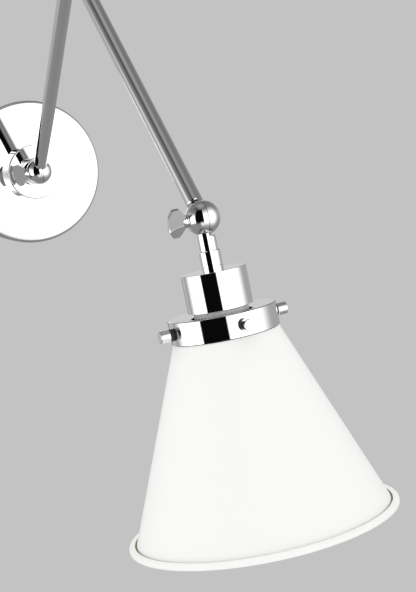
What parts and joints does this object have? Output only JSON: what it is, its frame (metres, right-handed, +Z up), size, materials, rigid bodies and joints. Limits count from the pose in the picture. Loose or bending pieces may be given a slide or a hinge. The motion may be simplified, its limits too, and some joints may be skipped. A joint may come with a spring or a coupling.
{
  "type": "swing arm wall lamp",
  "caption": "Plug-free wall lamp: round canopy, swivel base, two tubular arms with clamped ball joints, and a white cone shade in a thumbscrew gallery.",
  "frame": {"origin": "middle of the wall crossbar's back face, on the wall plane and on the canopy's axis", "axes": "+Z up, +Y into the wall, -Y out into the room, +X to the right seen from the room"},
  "size_m": [0.1784, 0.5191, 0.4079],
  "materials": {
    "zinc_steel": "bright zinc plated steel",
    "polished_nickel": "mirror polished nickel plate on brass",
    "satin_nickel": "nickel plate, lightly satin",
    "earth_brass": "green lacquered brass earth screw",
    "brass": "plain bright brass",
    "fibre_washer": "black vulcanised fibre",
    "bushing_plastic": "natural nylon",
    "lead_insulation": "silicone insulated flexible conductor",
    "black_rubber": "black moulded rubber",
    "socket_ceramic": "white glazed porcelain",
    "socket_plastic": "black phenolic moulding",
    "white_glass": "opal white glass, satin outside"
  },
  "bodies": {
    "wall_base": {"wall_crossbar": "zinc_steel", "crossbar_pipe": "zinc_steel", "pipe_locknuts": "zinc_steel", "canopy_locknut": "zinc_steel", "earth_screw": "earth_brass", "canopy": "polished_nickel", "swivel_boss": "polished_nickel", "swivel_stop_screw": "polished_nickel", "swivel_washer": "fibre_washer"},
    "swivel": {"swivel_neck": "polished_nickel", "base_friction_washer": "fibre_washer"},
    "lower_arm": {"base_knuckle": "polished_nickel", "lower_arm_tube": "polished_nickel", "lower_elbow_knuckle": "polished_nickel", "lower_arm_leads": "lead_insulation", "lower_arm_bushings": "bushing_plastic"},
    "upper_arm": {"upper_elbow_knuckle": "polished_nickel", "upper_arm_tube": "polished_nickel", "shade_end_knuckle": "polished_nickel", "upper_arm_leads": "lead_insulation", "upper_arm_bushings": "bushing_plastic", "elbow_friction_washer": "fibre_washer"},
    "head": {"shade_knuckle": "polished_nickel", "shade_friction_washer": "fibre_washer", "stem_coupling": "polished_nickel", "head_pipe": "zinc_steel", "cup_locknut": "zinc_steel", "socket_cup": "polished_nickel", "shade_gallery": "polished_nickel", "socket_body": "socket_ceramic", "socket_screw_shell": "brass", "socket_centre_contact": "brass", "socket_ring_nut": "socket_plastic", "socket_terminal_screws": "brass", "socket_leads": "lead_insulation", "cone_shade": "white_glass", "thumbscrew_washers": "black_rubber"},
    "base_wing": {"base_wing_screw": "polished_nickel"},
    "elbow_wing": {"elbow_wing_screw": "polished_nickel"},
    "shade_wing": {"shade_wing_screw": "polished_nickel"},
    "thumb_right": {"thumbscrew_right": "satin_nickel"},
    "thumb_front": {"thumbscrew_front": "satin_nickel"},
    "thumb_left": {"thumbscrew_left": "satin_nickel"},
    "thumb_back": {"thumbscrew_back": "satin_nickel"}
  },
  "joints": [
    {"name": "base_swivel", "type": "hinge", "parent": "wall_base", "child": "swivel", "pos_m": [0, -0.0275, 0], "axis": [0, -1, 0], "range_deg": [-160, 160]},
    {"name": "base_pivot", "type": "hinge", "parent": "swivel", "child": "lower_arm", "pos_m": [0, -0.042, 0], "axis": [1, 0, 0], "range_deg": [-50, 125]},
    {"name": "elbow_pivot", "type": "hinge", "parent": "lower_arm", "child": "upper_arm", "pos_m": [0, -0.24618, 0.15442], "axis": [1, 0, 0], "range_deg": [-195, 30]},
    {"name": "shade_pivot", "type": "hinge", "parent": "upper_arm", "child": "head", "pos_m": [0, -0.41946, -0.03402], "axis": [1, 0, 0], "range_deg": [-165, 84]},
    {"name": "base_wing_turn", "type": "hinge", "parent": "lower_arm", "child": "base_wing", "pos_m": [-0.0134, -0.042, 0], "axis": [-1, 0, 0], "range_deg": [0, 180]},
    {"name": "elbow_wing_turn", "type": "hinge", "parent": "lower_arm", "child": "elbow_wing", "pos_m": [-0.0134, -0.24618, 0.15442], "axis": [-1, 0, 0], "range_deg": [0, 180]},
    {"name": "shade_wing_turn", "type": "hinge", "parent": "upper_arm", "child": "shade_wing", "pos_m": [-0.0134, -0.41946, -0.03402], "axis": [-1, 0, 0], "range_deg": [0, 180]},
    {"name": "thumb_right_slide", "type": "slide", "parent": "head", "child": "thumb_right", "axis": [1, 0, 0], "range_m": [0, 0.003]},
    {"name": "thumb_front_slide", "type": "slide", "parent": "head", "child": "thumb_front", "axis": [0, -0.9986, 0.0523], "range_m": [0, 0.003]},
    {"name": "thumb_left_slide", "type": "slide", "parent": "head", "child": "thumb_left", "axis": [-1, 0, 0], "range_m": [0, 0.003]},
    {"name": "thumb_back_slide", "type": "slide", "parent": "head", "child": "thumb_back", "axis": [0, 0.9986, -0.0523], "range_m": [0, 0.003]}
  ]
}
